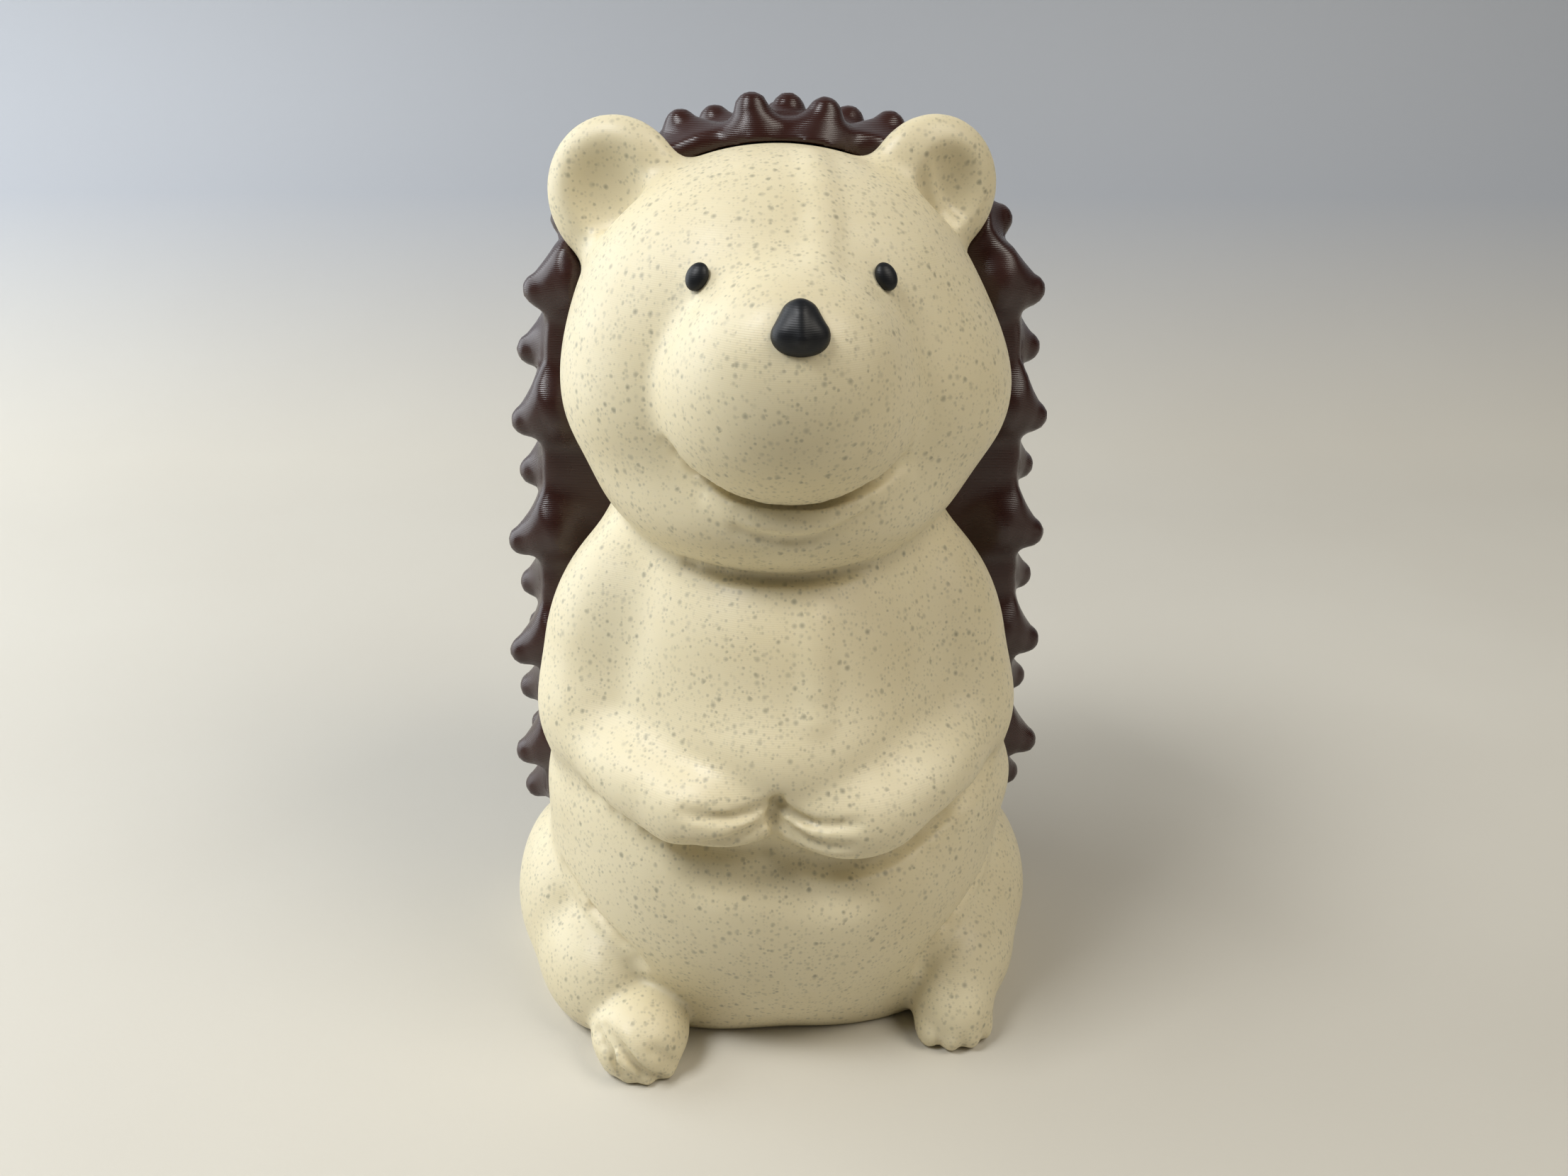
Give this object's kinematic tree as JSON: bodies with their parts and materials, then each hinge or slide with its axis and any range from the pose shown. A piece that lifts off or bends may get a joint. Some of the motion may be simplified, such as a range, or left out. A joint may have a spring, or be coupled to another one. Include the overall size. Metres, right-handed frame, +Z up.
{
  "type": "hedgehog figurine",
  "caption": "Small sitting hedgehog ornament with clasped hands, a speckled cream body and a separate spiny brown coat on its back.",
  "frame": {"origin": "on the floor under the middle of the figure's box", "axes": "+Z up, the figure faces -Y, +X to the viewer's right"},
  "size_m": [0.0704, 0.0724, 0.1066],
  "materials": {
    "body_print": "cream printed plastic with fine dark specks and faint layer lines",
    "coat_print": "glossy dark brown printed plastic with faint layer lines",
    "black_print": "black printed plastic with a soft gloss"
  },
  "bodies": {
    "root": {"body": "body_print", "quill_coat": "coat_print", "eye_left": "black_print", "eye_right": "black_print", "nose": "black_print"}
  },
  "joints": []
}
